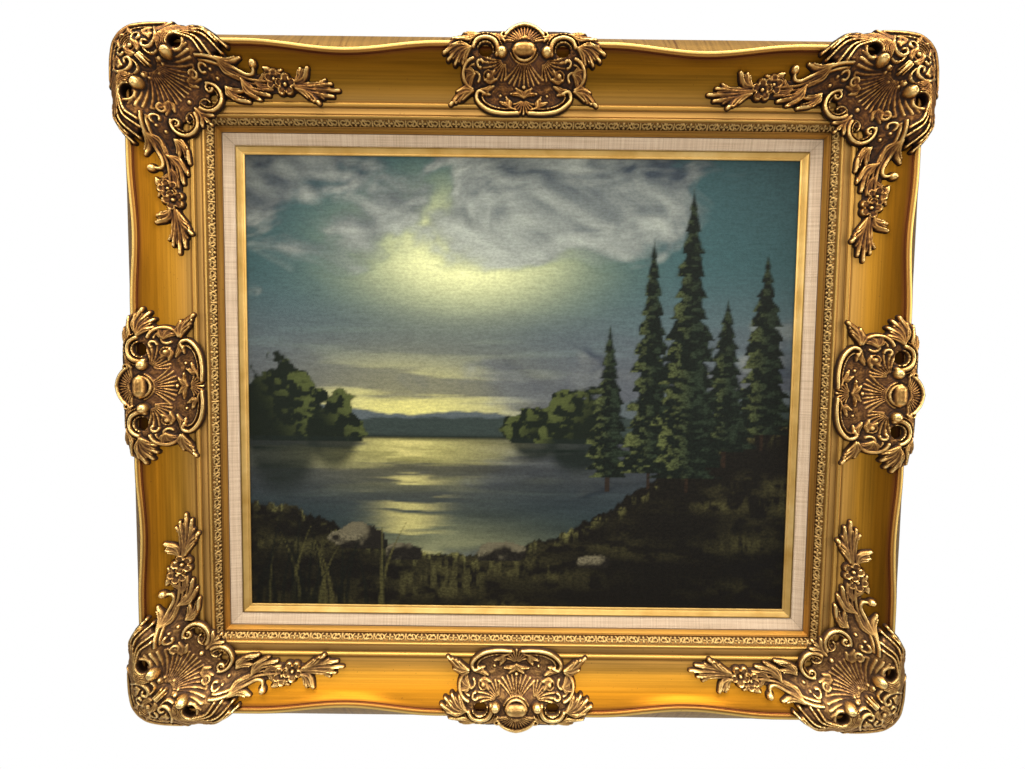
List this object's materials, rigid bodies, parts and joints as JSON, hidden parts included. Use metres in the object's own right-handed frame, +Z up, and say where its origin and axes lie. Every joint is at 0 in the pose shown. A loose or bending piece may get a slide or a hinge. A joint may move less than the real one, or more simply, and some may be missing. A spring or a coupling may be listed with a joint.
{
  "type": "framed oil painting",
  "caption": "Landscape oil painting on a stretched canvas in a deep gilt swept frame with carved corner and centre ornaments, a linen liner and a gilt slip. Made to hang on a wall.",
  "frame": {"origin": "middle of the top rail's flat back, where the picture meets the wall", "axes": "+Z up, +X to the viewer's right, +Y into the wall, so the picture faces -Y"},
  "size_m": [0.853, 0.0946, 0.7511],
  "materials": {
    "gilt": "worn satin gilding over wood",
    "antique_gilt": "antiqued gilding over moulded composition, dark in the hollows",
    "linen": "natural linen over a wood liner",
    "gilt_slip": "satin gilding over wood",
    "oil_paint": "oil paint on canvas, lightly varnished",
    "pine": "bare wood"
  },
  "bodies": {
    "root": {"frame_rail_top": "gilt", "frame_rail_bottom": "gilt", "frame_rail_left": "gilt", "frame_rail_right": "gilt", "corner_casting_top_left": "antique_gilt", "corner_casting_top_right": "antique_gilt", "corner_casting_bottom_left": "antique_gilt", "corner_casting_bottom_right": "antique_gilt", "centre_casting_top": "antique_gilt", "centre_casting_bottom": "antique_gilt", "centre_casting_left": "antique_gilt", "centre_casting_right": "antique_gilt", "liner_top": "linen", "liner_bottom": "linen", "liner_left": "linen", "liner_right": "linen", "slip_top": "gilt_slip", "slip_bottom": "gilt_slip", "slip_left": "gilt_slip", "slip_right": "gilt_slip", "canvas": "oil_paint", "stretcher_bar_top": "pine", "stretcher_bar_bottom": "pine", "stretcher_bar_left": "pine", "stretcher_bar_right": "pine"}
  },
  "joints": []
}
